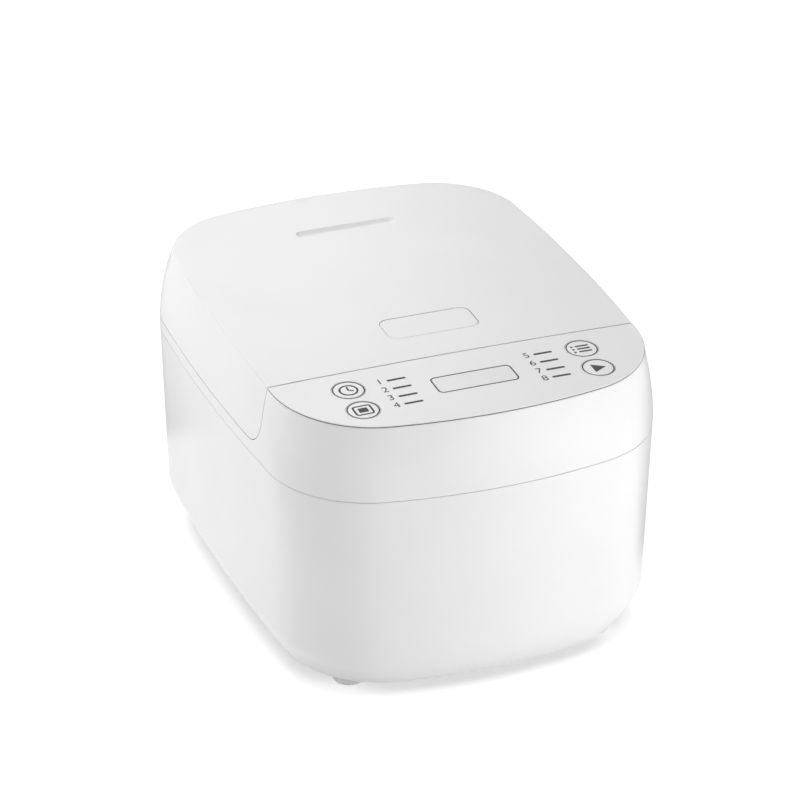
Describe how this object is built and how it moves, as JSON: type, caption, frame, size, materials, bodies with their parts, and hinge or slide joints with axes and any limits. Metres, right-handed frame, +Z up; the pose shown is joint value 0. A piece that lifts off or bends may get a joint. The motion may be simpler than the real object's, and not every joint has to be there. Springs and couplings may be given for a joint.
{
  "type": "rice cooker",
  "caption": "Rounded-box rice cooker with hinged lid, latch and open button, sloping front control panel with round keys, steam slot, inner pot and heater.",
  "frame": {"origin": "on the standing surface, below the middle of the casing", "axes": "+Z up, front with the control panel faces -Y, +X to the right of someone facing the front"},
  "size_m": [0.2502, 0.3232, 0.1965],
  "materials": {
    "white_plastic": "moulded white satin gloss",
    "liner_plastic": "moulded light grey matte",
    "black_plastic": "moulded black matte",
    "foot_rubber": "moulded pale rubber",
    "steel": "drawn steel",
    "aluminium": "spun aluminium",
    "pot_coating": "dark non-stick coating on aluminium",
    "circuit_board": "green glass-epoxy laminate",
    "component_plastic": "moulded dark plastic",
    "silicone": "moulded translucent silicone",
    "display_plastic": "polished pale window"
  },
  "bodies": {
    "base": {"base_plate": "white_plastic", "base_screws": "steel", "board_screws": "steel", "capacitor": "component_plastic", "control_board": "circuit_board", "control_panel": "white_plastic", "display_module": "component_plastic", "display_window": "display_plastic", "foot_back_left": "foot_rubber", "foot_back_right": "foot_rubber", "foot_front_left": "foot_rubber", "foot_front_right": "foot_rubber", "heating_plate": "aluminium", "hinge_pin": "steel", "hinge_spring_left": "steel", "hinge_spring_right": "steel", "inlet_blades": "steel", "inlet_socket": "black_plastic", "inner_pot": "pot_coating", "inner_shield": "steel", "key_switches": "component_plastic", "lower_shell": "white_plastic", "power_board": "circuit_board", "relay": "component_plastic", "sensor_cup": "steel", "sensor_spring": "steel", "thermal_fuse": "component_plastic", "transformer": "component_plastic", "upper_frame": "white_plastic", "warmer_band": "aluminium"},
    "lid": {"lid_cover": "white_plastic", "lid_liner": "liner_plastic", "lid_screws": "steel", "inner_lid_plate": "aluminium", "pot_seal": "silicone", "plate_knob": "liner_plastic", "steam_valve": "liner_plastic", "steam_duct": "liner_plastic", "lid_sensor": "component_plastic", "latch_spring": "steel", "button_spring_left": "steel", "button_spring_right": "steel"},
    "open_button": {"open_button": "white_plastic"},
    "latch": {"latch": "liner_plastic"},
    "sensor": {"sensor_cap": "aluminium"},
    "key_left_back": {"key_left_back": "white_plastic"},
    "key_left_front": {"key_left_front": "white_plastic"},
    "key_right_back": {"key_right_back": "white_plastic"},
    "key_right_front": {"key_right_front": "white_plastic"}
  },
  "joints": [
    {"name": "lid_hinge", "type": "hinge", "parent": "base", "child": "lid", "pos_m": [0, 0.1565, 0.1502], "axis": [-1, 0, 0], "range_deg": [0, 80]},
    {"name": "open_button_press", "type": "slide", "parent": "lid", "child": "open_button", "axis": [0, 0, -1], "range_m": [0, 0.003], "stiffness_N_per_m": 400, "springref_m": -0.002, "deforming": ["button_spring_left", "button_spring_right"]},
    {"name": "latch_slide", "type": "slide", "parent": "lid", "child": "latch", "axis": [0, 1, 0], "range_m": [0, 0.003], "deforming": ["latch_spring"]},
    {"name": "sensor_press", "type": "slide", "parent": "base", "child": "sensor", "axis": [0, 0, -1], "range_m": [0, 0.002], "stiffness_N_per_m": 300, "springref_m": -0.002, "deforming": ["sensor_spring"]},
    {"name": "key_left_back_press", "type": "slide", "parent": "base", "child": "key_left_back", "axis": [0, 0.0629, -0.998], "range_m": [0, 0.0005], "stiffness_N_per_m": 600, "springref_m": -0.0005},
    {"name": "key_left_front_press", "type": "slide", "parent": "base", "child": "key_left_front", "axis": [0, 0.0629, -0.998], "range_m": [0, 0.0005], "stiffness_N_per_m": 600, "springref_m": -0.0005},
    {"name": "key_right_back_press", "type": "slide", "parent": "base", "child": "key_right_back", "axis": [0, 0.0629, -0.998], "range_m": [0, 0.0005], "stiffness_N_per_m": 600, "springref_m": -0.0005},
    {"name": "key_right_front_press", "type": "slide", "parent": "base", "child": "key_right_front", "axis": [0, 0.0629, -0.998], "range_m": [0, 0.0005], "stiffness_N_per_m": 600, "springref_m": -0.0005}
  ],
  "couplings": [
    {"joint": "latch_slide", "follows": "open_button_press", "ratio": 1}
  ]
}
